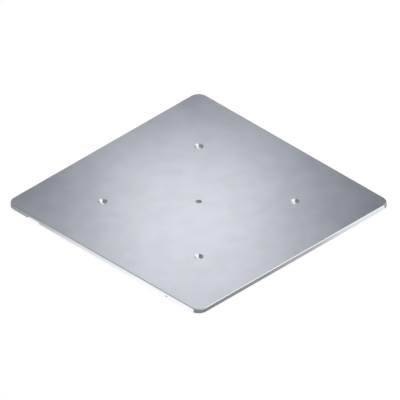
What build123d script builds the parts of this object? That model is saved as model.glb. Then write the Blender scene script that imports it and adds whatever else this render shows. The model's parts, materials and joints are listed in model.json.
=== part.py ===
from build123d import *
import os

# A square cover plate cut from flat metal bar, lying on its underside.
# The origin is the middle of the underside, X and Y run along the sides, +Z is up.
# The pry notches open in the front side, which faces -Y. Lengths are in millimetres.

# Blank
side_length = 320.0
thickness = 6.0
corner_radius = 12.5

# Edges, both at 45 degrees
top_bevel = 0.8
underside_break = 0.2

# Holes for four M4 countersunk screws, one at each corner of a square
screw_spacing = 160.0
screw_hole_diameter = 4.5
countersink_diameter = 11.2
countersink_angle = 90.0

# M8 tapped hole through the middle, at the outer diameter of its fine thread
centre_hole_diameter = 8.0

# Two shallow notches milled into the underside of the front side, one near each end
notch_width = 20.0
notch_height = 2.5
notch_reach = 12.0
notch_corner_radius = 4.0
notch_from_side_end = 44.5

# Places that follow from the sizes above
front_face_y = -side_length / 2
notch_spacing = side_length - 2 * notch_from_side_end


with BuildPart() as cover_plate:
    # The blank is a square with round corners, bevelled all round its top rim,
    # with the sharp edge taken off all round the underside.
    with BuildSketch():
        RectangleRounded(side_length, side_length, corner_radius)
    extrude(amount=thickness)
    top_rim = cover_plate.faces().sort_by(Axis.Z)[-1].edges()
    chamfer(top_rim, length=top_bevel)
    underside_rim = cover_plate.faces().sort_by(Axis.Z)[0].edges()
    chamfer(underside_rim, length=underside_break)

    # Screw holes, sunk from the top so deep that the heads end below the face.
    with Locations((0, 0, thickness)):
        with GridLocations(screw_spacing, screw_spacing, 2, 2):
            CounterSinkHole(
                radius=screw_hole_diameter / 2,
                counter_sink_radius=countersink_diameter / 2,
                counter_sink_angle=countersink_angle,
            )

    # Centre hole
    with Locations((0, 0, thickness)):
        Hole(radius=centre_hole_diameter / 2)

    # Each notch is a pocket as far past the side as into it, so that its ends are
    # straight where it opens and only its inner corners have the cutter's radius.
    with BuildSketch():
        with Locations((0, front_face_y)):
            with GridLocations(notch_spacing, 0, 2, 1):
                RectangleRounded(notch_width, 2 * notch_reach, notch_corner_radius)
    extrude(amount=notch_height, mode=Mode.SUBTRACT)

cover_plate.part.label = "cover_plate"

os.makedirs("parts", exist_ok=True)
export_step(cover_plate.part, "parts/cover_plate.step")
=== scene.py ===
import json
import math

import bmesh
import bpy
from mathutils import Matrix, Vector


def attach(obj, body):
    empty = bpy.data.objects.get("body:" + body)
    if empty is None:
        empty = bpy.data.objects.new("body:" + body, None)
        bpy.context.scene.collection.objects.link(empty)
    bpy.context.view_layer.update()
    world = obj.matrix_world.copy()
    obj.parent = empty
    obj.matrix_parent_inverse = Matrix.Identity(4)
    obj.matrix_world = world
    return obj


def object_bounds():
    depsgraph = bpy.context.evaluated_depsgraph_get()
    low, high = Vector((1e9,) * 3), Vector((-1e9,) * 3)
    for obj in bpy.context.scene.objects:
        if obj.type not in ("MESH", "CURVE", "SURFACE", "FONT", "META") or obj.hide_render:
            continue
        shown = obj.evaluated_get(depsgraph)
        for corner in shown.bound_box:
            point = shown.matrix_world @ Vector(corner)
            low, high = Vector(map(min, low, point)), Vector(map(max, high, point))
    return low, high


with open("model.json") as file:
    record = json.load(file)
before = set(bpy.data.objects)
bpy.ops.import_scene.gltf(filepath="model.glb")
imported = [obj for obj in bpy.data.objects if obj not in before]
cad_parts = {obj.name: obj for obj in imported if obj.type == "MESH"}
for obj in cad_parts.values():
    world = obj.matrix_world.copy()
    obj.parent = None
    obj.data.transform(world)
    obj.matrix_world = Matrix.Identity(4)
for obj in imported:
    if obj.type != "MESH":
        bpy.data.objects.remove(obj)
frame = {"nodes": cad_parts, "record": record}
cad_low, cad_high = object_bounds()

# Cover plate
# One square plate of solid aluminium, sawn from flat bar and ground on both faces to an
# even satin. Its sides, top bevel, screw holes and pry notches are cut afterwards, so
# they are smoother and less blue than the ground face; they are also painted lighter,
# a painted highlight on those edges. It lies loose on its underside.
plate = frame["nodes"]["cover_plate"]
half_side = cad_high.x
corner_radius = 0.0125
bevel = 0.0008

# How upright a surface's normal is, from 0 on a side to 1 on a face. The plate turns
# from cut to ground metal between the first pair, and a bevel is past the second.
ground_facing = (0.90, 0.98)
bevel_facing = (0.3, 0.5)

# Colour and roughness of the two finishes. A pair holds the roughness at the low and at
# the high end of the noise that varies it.
ground_colour = (0.767, 0.778, 0.816, 1.0)
ground_roughness = (0.35, 0.36)
# The cut colour is partly the cut finish and partly a painted highlight: it is lighter than the
# ground colour.
cut_and_highlight_colour = (0.83, 0.838, 0.85, 1.0)
cut_roughness = (0.26, 0.32)
filed_extra_roughness = 0.25
filed_fade = 0.0015

# Belt and feed lines per metre along X, Y and Z, the size of the clouds, and how much
# each of them darkens and lightens the metal.
belt_lines = (9.0, 1400.0, 9.0)
belt_shades = (0.985, 1.012)
feed_lines = (14.0, 14.0, 2600.0)
feed_shades = (0.95, 1.03)
line_detail = 3.0
line_roughness = 0.65
line_bump = 0.05
line_depth = 0.0001
cloud_scale = 42.0
cloud_detail = 3.0
cloud_shades = (0.962, 1.028)
noise_range = (0.3, 0.7)

# A thin darker line just inside the bevel.
rim_line_width = 0.0014
rim_line_shade = 0.88


def add_node(tree, kind, **settings):
    """Adds a node and sets its properties, such as operation or data_type."""
    made = tree.nodes.new(kind)
    for name, value in settings.items():
        setattr(made, name, value)
    return made


def connect(tree, source, target):
    """Links an output to an input, or sets the input to a plain value."""
    if isinstance(source, bpy.types.NodeSocket):
        tree.links.new(source, target)
    else:
        target.default_value = source


def maths(tree, operation, first, second=0.0):
    """A Math node on one or two numbers."""
    made = add_node(tree, "ShaderNodeMath", operation=operation)
    connect(tree, first, made.inputs[0])
    connect(tree, second, made.inputs[1])
    return made.outputs["Value"]


def vector_maths(tree, operation, first, second=(0.0, 0.0, 0.0)):
    """A Vector Math node on one or two vectors. Only a length is a single number."""
    made = add_node(tree, "ShaderNodeVectorMath", operation=operation)
    connect(tree, first, made.inputs[0])
    connect(tree, second, made.inputs[1])
    return made.outputs["Value" if operation == "LENGTH" else "Vector"]


def split(tree, vector):
    """Gives a vector's X, Y and Z."""
    made = add_node(tree, "ShaderNodeSeparateXYZ")
    connect(tree, vector, made.inputs["Vector"])
    return made.outputs


def step(tree, value, limits, results=(0.0, 1.0)):
    """Maps a value between two limits to two results, smoothly and no further."""
    made = add_node(tree, "ShaderNodeMapRange", interpolation_type="SMOOTHSTEP")
    connect(tree, value, made.inputs["Value"])
    connect(tree, limits[0], made.inputs["From Min"])
    connect(tree, limits[1], made.inputs["From Max"])
    connect(tree, results[0], made.inputs["To Min"])
    connect(tree, results[1], made.inputs["To Max"])
    return made.outputs["Result"]


def blend_numbers(tree, amount, first, second):
    """Mixes two numbers by an amount. A Mix node's number sockets are 2 and 3."""
    made = add_node(tree, "ShaderNodeMix", data_type="FLOAT")
    connect(tree, amount, made.inputs[0])
    connect(tree, first, made.inputs[2])
    connect(tree, second, made.inputs[3])
    return made.outputs[0]


def blend_colours(tree, amount, first, second, blend_type="MIX"):
    """Mixes two colours by an amount. A Mix node's colour sockets are 6 and 7."""
    made = add_node(tree, "ShaderNodeMix", data_type="RGBA", blend_type=blend_type)
    connect(tree, amount, made.inputs[0])
    connect(tree, first, made.inputs[6])
    connect(tree, second, made.inputs[7])
    return made.outputs[2]


def shade(tree, colour, level):
    """Darkens a colour by a level below 1, or lightens it by one above."""
    return blend_colours(tree, 1.0, colour, level, "MULTIPLY")


def noise(tree, place, scale, detail, roughness=0.5):
    """Soft irregular patches, from 0 to 1."""
    made = add_node(tree, "ShaderNodeTexNoise")
    connect(tree, place, made.inputs["Vector"])
    made.inputs["Scale"].default_value = scale
    made.inputs["Detail"].default_value = detail
    made.inputs["Roughness"].default_value = roughness
    return made.outputs["Fac"]


def emboss(tree, shader, height, strength, depth):
    """Gives a surface fine relief."""
    bump = add_node(tree, "ShaderNodeBump")
    bump.inputs["Strength"].default_value = strength
    bump.inputs["Distance"].default_value = depth
    connect(tree, height, bump.inputs["Height"])
    connect(tree, bump.outputs["Normal"], shader.inputs["Normal"])


def new_metal(name):
    """A new material whose shader is bare metal."""
    material = bpy.data.materials.new(name)
    material.use_nodes = True
    shader = material.node_tree.nodes["Principled BSDF"]
    shader.inputs["Metallic"].default_value = 1.0
    return material, material.node_tree, shader


def make_lines_group():
    """Fine straight lines left by a belt or a cutter: noise drawn out along two axes."""
    group = bpy.data.node_groups.new("drawn_lines", "ShaderNodeTree")
    group.interface.new_socket("Place", in_out="INPUT", socket_type="NodeSocketVector")
    group.interface.new_socket("Lines per metre", in_out="INPUT", socket_type="NodeSocketVector")
    group.interface.new_socket("Lines", in_out="OUTPUT", socket_type="NodeSocketFloat")
    given = add_node(group, "NodeGroupInput").outputs
    result = add_node(group, "NodeGroupOutput")
    stretched = vector_maths(group, "MULTIPLY", given["Place"], given["Lines per metre"])
    drawn = noise(group, stretched, 1.0, line_detail, line_roughness)
    connect(group, drawn, result.inputs["Lines"])
    return group


def lines(tree, group, place, per_metre):
    """Places the line group in a material with its own spacing."""
    made = add_node(tree, "ShaderNodeGroup", node_tree=group)
    connect(tree, place, made.inputs["Place"])
    connect(tree, per_metre, made.inputs["Lines per metre"])
    return made.outputs["Lines"]


def plate_material():
    """Satin ground faces, with cut edges and holes."""
    material, tree, shader = new_metal("satin_aluminium")
    place = add_node(tree, "ShaderNodeTexCoord")
    spot = place.outputs["Object"]
    facing = split(tree, place.outputs["Normal"])["Z"]
    drawn_lines = make_lines_group()

    # Ground where the surface faces straight up or down, cut everywhere else.
    ground = step(tree, maths(tree, "ABSOLUTE", facing), ground_facing)

    # How far a point lies outside the plate's rounded outline, negative inside it. A
    # metre taken off its height leaves only X and Y.
    straight = half_side - corner_radius
    beyond = vector_maths(tree, "ABSOLUTE", spot)
    beyond = vector_maths(tree, "SUBTRACT", beyond, (straight, straight, 1.0))
    beyond = vector_maths(tree, "MAXIMUM", beyond)
    outside = vector_maths(tree, "LENGTH", beyond)
    outside = maths(tree, "SUBTRACT", outside, corner_radius)

    # A thin darker line is painted just inside the bevel. It fades out along the front side,
    # which has none.
    rim_start = -bevel - rim_line_width
    rim_line = step(tree, outside, (rim_start, rim_start + rim_line_width / 2))
    front_fade = (-half_side + bevel, -half_side + corner_radius / 2)
    off_front = step(tree, split(tree, spot)["Y"], front_fade)
    rim_line = maths(tree, "MULTIPLY", rim_line, off_front)
    rim_line = maths(tree, "MULTIPLY", rim_line, ground)
    rim_level = step(tree, rim_line, (0.0, 1.0), (1.0, rim_line_shade))

    # Ground face: belt lines along X, and soft clouds where the belt bore harder.
    belt = lines(tree, drawn_lines, spot, belt_lines)
    clouds = noise(tree, spot, cloud_scale, cloud_detail)
    belt_level = step(tree, belt, noise_range, belt_shades)
    cloud_level = step(tree, clouds, noise_range, cloud_shades)
    ground_level = maths(tree, "MULTIPLY", belt_level, cloud_level)

    # Cut surfaces: feed lines that run level, round the holes and along the sides.
    feed = lines(tree, drawn_lines, spot, feed_lines)
    cut_level = step(tree, feed, noise_range, feed_shades)

    ground_tone = shade(tree, ground_colour, ground_level)
    # The cut tone carries the painted highlight on the sides, bevel and holes.
    cut_and_highlight_tone = shade(tree, cut_and_highlight_colour, cut_level)
    tone = blend_colours(tree, ground, cut_and_highlight_tone, ground_tone)
    connect(tree, shade(tree, tone, rim_level), shader.inputs["Base Color"])

    # Round the four corners the bevel is filed by hand, which leaves it duller.
    past_straight = split(tree, beyond)
    filed = maths(tree, "MINIMUM", past_straight["X"], past_straight["Y"])
    filed = step(tree, filed, (0.0, filed_fade))
    filed = maths(tree, "MULTIPLY", filed, step(tree, facing, bevel_facing))
    filed = maths(tree, "MULTIPLY", filed, filed_extra_roughness)

    ground_gloss = step(tree, clouds, noise_range, ground_roughness)
    cut_gloss = step(tree, feed, noise_range, cut_roughness)
    cut_gloss = maths(tree, "ADD", cut_gloss, filed)
    roughness = blend_numbers(tree, ground, cut_gloss, ground_gloss)
    connect(tree, roughness, shader.inputs["Roughness"])

    emboss(tree, shader, blend_numbers(tree, ground, feed, belt), line_bump, line_depth)
    return material


metal = plate_material()
for slot in plate.material_slots:
    slot.material = metal

# Centre thread
# The right-hand M8 thread that a tap has cut in the plate's centre hole. The solid has
# the hole at the thread's outer diameter, so this ridge stands inwards from its wall. It
# is darker and rougher in fine random patches, and where it runs out at a face it is ground
# flush with that face.
mounts = {mount["name"]: mount for mount in frame["record"]["mounts"]}
hole_radius = mounts["centre_hole"]["dims"]["r_mm"] / 1000
face_height = cad_high.z
thread_pitch = 0.00125
thread_inner_radius = 0.003324
root_overlap = 0.00004
thread_root_radius = hole_radius + root_overlap
ridge_half_root = 0.00056
ridge_half_crest = 0.00016
steps_per_turn = 48
thread_start = math.radians(-116.0)

thread_colour = (0.74, 0.76, 0.80, 1.0)
# The darker colour of the thread's fine random patches.
dark_patch_colour = (0.57, 0.58, 0.62, 1.0)
thread_roughness = (0.44, 0.54)
dark_patch_scale = 1500.0
dark_patch_detail = 4.0
dark_patch_edge = (0.35, 0.65)
dark_patch_bump = 0.2
dark_patch_depth = 0.00005
flush_facing = (0.93, 0.98)
flush_roughness = 0.355


def make_thread():
    """A ridge of trapezium section wound up the hole, cut off flat at both faces."""
    turns = face_height / thread_pitch + 2
    section = (
        (thread_root_radius, -ridge_half_root),
        (thread_inner_radius, -ridge_half_crest),
        (thread_inner_radius, ridge_half_crest),
        (thread_root_radius, ridge_half_root),
    )
    ridge = bmesh.new()
    rings = []
    for index in range(round(turns * steps_per_turn) + 1):
        angle = thread_start + 2 * math.pi * index / steps_per_turn
        climb = thread_pitch * (index / steps_per_turn - 1)
        ring = []
        for radius, rise in section:
            place = (radius * math.cos(angle), radius * math.sin(angle), climb + rise)
            ring.append(ridge.verts.new(place))
        rings.append(ring)
    for lower, upper in zip(rings, rings[1:]):
        for corner in range(4):
            after = (corner + 1) % 4
            ridge.faces.new((lower[corner], lower[after], upper[after], upper[corner]))
    for level, way in ((0.0, -1.0), (face_height, 1.0)):
        cut = bmesh.ops.bisect_plane(
            ridge,
            geom=ridge.verts[:] + ridge.edges[:] + ridge.faces[:],
            plane_co=(0.0, 0.0, level),
            plane_no=(0.0, 0.0, way),
            clear_outer=True,
        )
        edges = [part for part in cut["geom_cut"] if isinstance(part, bmesh.types.BMEdge)]
        bmesh.ops.edgeloop_fill(ridge, edges=edges)
    bmesh.ops.recalc_face_normals(ridge, faces=ridge.faces[:])
    mesh = bpy.data.meshes.new("centre_thread")
    ridge.to_mesh(mesh)
    ridge.free()
    return mesh


def thread_material():
    """Freshly tapped aluminium, darker and rougher in fine random patches."""
    material, tree, shader = new_metal("patchy_thread")
    place = add_node(tree, "ShaderNodeTexCoord")
    patches = noise(tree, place.outputs["Object"], dark_patch_scale, dark_patch_detail)
    dark_patch = step(tree, patches, dark_patch_edge)
    facing = split(tree, place.outputs["Normal"])["Z"]
    flush = step(tree, maths(tree, "ABSOLUTE", facing), flush_facing)
    tone = blend_colours(tree, dark_patch, thread_colour, dark_patch_colour)
    tone = blend_colours(tree, flush, tone, ground_colour)
    connect(tree, tone, shader.inputs["Base Color"])
    roughness = step(tree, dark_patch, (0.0, 1.0), thread_roughness)
    roughness = blend_numbers(tree, flush, roughness, flush_roughness)
    connect(tree, roughness, shader.inputs["Roughness"])
    emboss(tree, shader, patches, dark_patch_bump, dark_patch_depth)
    return material


thread_mesh = make_thread()
thread_mesh.materials.append(thread_material())
thread = bpy.data.objects.new("centre_thread", thread_mesh)
bpy.context.scene.collection.objects.link(thread)
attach(thread, "root")

# Table
# A wide pale table top that the plate lies on. The camera and the metal see it as plain
# white, with the plate's own soft shadow left in.
table_half_width = 6.0
table_drop = 0.00005
table_white = 0.86
shadow_share = 0.16
table_diffuse = 0.9


def grey(level):
    """A grey colour of the given level."""
    return (level, level, level, 1.0)


def make_sheet(name, corners, height):
    """A flat face with the given corners, in order, at one height."""
    mesh = bpy.data.meshes.new(name)
    mesh.from_pydata([(x, y, height) for x, y in corners], [], [range(len(corners))])
    made = bpy.data.objects.new(name, mesh)
    bpy.context.scene.collection.objects.link(made)
    return made


def new_blank(name):
    """A new material without any nodes yet."""
    material = bpy.data.materials.new(name)
    material.use_nodes = True
    material.node_tree.nodes.clear()
    return material, material.node_tree


def table_material():
    """White for the camera, reflections and glass, and a plain pale colour for light."""
    material, tree = new_blank("table_white")
    path = add_node(tree, "ShaderNodeLightPath")
    seen = maths(tree, "MAXIMUM", path.outputs["Is Camera Ray"], path.outputs["Is Glossy Ray"])
    seen = maths(tree, "MAXIMUM", seen, path.outputs["Is Transmission Ray"])
    plain = add_node(tree, "ShaderNodeBsdfDiffuse")
    plain.inputs["Color"].default_value = grey(table_diffuse)
    shaded = add_node(tree, "ShaderNodeBsdfDiffuse")
    shaded.inputs["Color"].default_value = grey(shadow_share)
    glow = add_node(tree, "ShaderNodeEmission")
    glow.inputs["Strength"].default_value = table_white
    white_paint = add_node(tree, "ShaderNodeAddShader")
    connect(tree, shaded.outputs[0], white_paint.inputs[0])
    connect(tree, glow.outputs[0], white_paint.inputs[1])
    choice = add_node(tree, "ShaderNodeMixShader")
    connect(tree, seen, choice.inputs[0])
    connect(tree, plain.outputs[0], choice.inputs[1])
    connect(tree, white_paint.outputs[0], choice.inputs[2])
    output = add_node(tree, "ShaderNodeOutputMaterial")
    connect(tree, choice.outputs[0], output.inputs["Surface"])
    return material


table_corners = [
    (-table_half_width, -table_half_width),
    (table_half_width, -table_half_width),
    (table_half_width, table_half_width),
    (-table_half_width, table_half_width),
]
table = make_sheet("table_top", table_corners, -table_drop)
table.data.materials.append(table_material())

# Painted reflections
# Glowing grey sheets lie on the table round the plate: a graded one against each front
# side, a darker one round each end corner, and a small dark one in each pry notch. Only the
# metal sees them. They paint light and shade into its reflections, and grade the sides from
# light to dark.
reflection_sheet_height = 0.00002
reflection_sheet_width = 0.05
reflection_tint = (0.985, 1.0, 1.02)

# The two front sheets meet on a line off the front corner. They end off the end corners,
# where the corner sheets begin. The right one starts where the front corner's round ends.
join_inner = (0.1509, -0.1595)
join_outer = (0.1394, -0.2100)
right_start = -0.147
end_inner = 0.152
end_outer = end_inner + reflection_sheet_width
outer = half_side + reflection_sheet_width
corner_reach = 0.146
# The corner sheets' grey is painted shade in the reflections round the end corners.
corner_shade_grey = 0.28

# The pry notches, as they are in the plate.
notch_middle = 0.1155
notch_half_width = 0.01
notch_reach = 0.012
# The notch sheets' grey is painted shade inside the pry notches, seen in reflections.
notch_shade_grey = 0.12

# Positions from 0 to 1 across the whole plate, each with its grey.
left_greys = [(0.0, 0.375), (0.44, 0.94), (0.75, 1.14), (1.0, 1.15)]
right_greys = [(0.0, 0.27), (0.3, 0.33), (0.55, 0.485), (0.87, 0.93), (1.0, 1.0)]
corner_shade_greys = [(0.0, corner_shade_grey), (1.0, corner_shade_grey)]
notch_shade_greys = [(0.0, notch_shade_grey), (1.0, notch_shade_grey)]


def painted_reflection_material(name, axis, greys):
    """A glowing sheet that grades along one axis: a painted reflection."""
    material, tree = new_blank(name)
    place = add_node(tree, "ShaderNodeTexCoord")
    along = add_node(tree, "ShaderNodeMapRange")
    connect(tree, split(tree, place.outputs["Object"])[axis], along.inputs["Value"])
    along.inputs["From Min"].default_value = -half_side
    along.inputs["From Max"].default_value = half_side
    ramp = add_node(tree, "ShaderNodeValToRGB")
    ramp.color_ramp.interpolation = "EASE"
    points = ramp.color_ramp.elements
    while len(points) < len(greys):
        points.new(0.5)
    for point, (position, level) in zip(points, greys):
        point.position = position
        point.color = [level * part for part in reflection_tint] + [1.0]
    connect(tree, along.outputs["Result"], ramp.inputs["Fac"])
    glow = add_node(tree, "ShaderNodeEmission")
    glow.inputs["Strength"].default_value = 1.0
    connect(tree, ramp.outputs["Color"], glow.inputs["Color"])
    output = add_node(tree, "ShaderNodeOutputMaterial")
    connect(tree, glow.outputs[0], output.inputs["Surface"])
    return material


def lay_painted_reflection(name, corners, axis, greys):
    """Lays a glowing sheet on the table and hides it from everything but reflections."""
    reflection_sheet = make_sheet(name, corners, reflection_sheet_height)
    reflection_sheet.data.materials.append(painted_reflection_material(name, axis, greys))
    reflection_sheet.visible_camera = False
    reflection_sheet.visible_diffuse = False
    reflection_sheet.visible_shadow = False
    reflection_sheet.visible_transmission = False


left_corners = [
    (-end_outer, -outer),
    join_outer,
    join_inner,
    (-end_inner, -half_side),
]
right_corners = [
    join_inner,
    join_outer,
    (outer, -outer),
    (outer, end_outer),
    (half_side, end_inner),
    (half_side, right_start),
]
left_end_corners = [
    (-end_outer, -outer),
    (-end_inner, -half_side),
    (-end_inner, -corner_reach),
    (-outer, -corner_reach),
    (-outer, -outer),
]
right_end_corners = [
    (half_side, end_inner),
    (outer, end_outer),
    (outer, outer),
    (corner_reach, outer),
    (corner_reach, end_inner),
]
# The front sheets are painted reflections, each graded from dark to light along its side.
lay_painted_reflection("left_painted_reflection", left_corners, "X", left_greys)
lay_painted_reflection("right_painted_reflection", right_corners, "Y", right_greys)
lay_painted_reflection("left_corner_painted_shade", left_end_corners, "X", corner_shade_greys)
lay_painted_reflection("right_corner_painted_shade", right_end_corners, "X", corner_shade_greys)

# A dark sheet in each pry notch paints the shade inside it.
for name, middle in (("left_notch_painted_shade", -notch_middle), ("right_notch_painted_shade", notch_middle)):
    notch_corners = [
        (middle - notch_half_width, -half_side),
        (middle + notch_half_width, -half_side),
        (middle + notch_half_width, -half_side + notch_reach),
        (middle - notch_half_width, -half_side + notch_reach),
    ]
    lay_painted_reflection(name, notch_corners, "X", notch_shade_greys)

# Studio light
# Soft rectangular lamps at a plain level: two behind the plate, where its ground face
# mirrors them, two to the right for the bevels, two weak ones to the left for the screw
# holes, and a broad one overhead, so that a colour shows about as it is painted.
view_azimuth = math.radians(45.0)
to_front = Vector((math.sin(view_azimuth), -math.cos(view_azimuth), 0.0))
to_right = Vector((math.cos(view_azimuth), math.sin(view_azimuth), 0.0))
up = Vector((0.0, 0.0, 1.0))
face_middle = Vector((0.0, 0.0, face_height))


def hang_lamp(name, place, size, brightness):
    """A lamp aimed at the plate. Its place counts forward, to the right and up, as seen by
    the camera, and its brightness is what a camera would see of it."""
    lamp = bpy.data.lights.new(name, "AREA")
    lamp.shape = "RECTANGLE"
    lamp.size = size[0]
    lamp.size_y = size[1]
    lamp.energy = math.pi * size[0] * size[1] * brightness
    made = bpy.data.objects.new(name, lamp)
    made.location = to_front * place[0] + to_right * place[1] + up * place[2]
    made.rotation_euler = (face_middle - made.location).to_track_quat("-Z", "Y").to_euler()
    made.visible_camera = False
    bpy.context.scene.collection.objects.link(made)


hang_lamp("back_lamp", place=(-0.429, -0.01, 0.348), size=(0.193, 0.178), brightness=1.01)
hang_lamp("wide_back_lamp", place=(-0.303, 0.0, 0.466), size=(0.35, 0.50), brightness=0.44)
hang_lamp("right_lamp", place=(0.05, 1.52, 0.95), size=(1.6, 1.0), brightness=1.08)
hang_lamp("front_right_lamp", place=(0.91, 0.71, 1.38), size=(1.5, 0.9), brightness=1.1)
hang_lamp("left_lamp", place=(0.15, -0.7, 0.45), size=(0.3, 0.3), brightness=0.4)
hang_lamp("near_left_lamp", place=(-0.11, -0.27, 0.27), size=(0.3, 0.12), brightness=0.36)
hang_lamp("overhead_lamp", place=(0.0, 0.0, 2.2), size=(2.4, 2.4), brightness=0.8)

# The room is plain light for dull surfaces and white where it is looked at. The metal
# mirrors it as pale low down and dim higher up.
plain_light = grey(0.5)
white = grey(1.0)
low_room_colour = (0.42, 0.43, 0.45, 1.0)
high_room_colour = (0.055, 0.074, 0.106, 1.0)
room_turn = (0.10, 0.45)

world = bpy.data.worlds.new("studio")
bpy.context.scene.world = world
world.use_nodes = True
sky = world.node_tree
background = sky.nodes["Background"]
looking = add_node(sky, "ShaderNodeTexCoord")
rise = step(sky, split(sky, looking.outputs["Generated"])["Z"], room_turn)
room = blend_colours(sky, rise, low_room_colour, high_room_colour)
path = add_node(sky, "ShaderNodeLightPath")
shown = blend_colours(sky, path.outputs["Is Glossy Ray"], plain_light, room)
seen = maths(sky, "MAXIMUM", path.outputs["Is Camera Ray"], path.outputs["Is Transmission Ray"])
shown = blend_colours(sky, seen, shown, white)
connect(sky, shown, background.inputs["Color"])
background.inputs["Strength"].default_value = 1.0

# Camera
# It looks down on one corner of the plate without perspective, as the photograph does.
# The plate's middle lies a little left of and below the middle of the picture.
view_elevation = math.radians(35.0)
picture_width = 400
pixels_per_metre = 850.0
plate_middle_pixel = (198.65, 201.45)
camera_distance = 1.5

camera_data = bpy.data.cameras.new("camera")
camera_data.type = "ORTHO"
camera_data.ortho_scale = picture_width / pixels_per_metre
camera = bpy.data.objects.new("camera", camera_data)
back = to_front * math.cos(view_elevation) + up * math.sin(view_elevation)
picture_up = back.cross(to_right)
aim = (
    face_middle
    + to_right * (picture_width / 2 - plate_middle_pixel[0]) / pixels_per_metre
    + picture_up * (plate_middle_pixel[1] - picture_width / 2) / pixels_per_metre
)
camera.location = aim + back * camera_distance
camera.rotation_euler = (-back).to_track_quat("-Z", "Y").to_euler()
bpy.context.scene.collection.objects.link(camera)
bpy.context.scene.camera = camera
bpy.context.scene.view_settings.view_transform = "Standard"
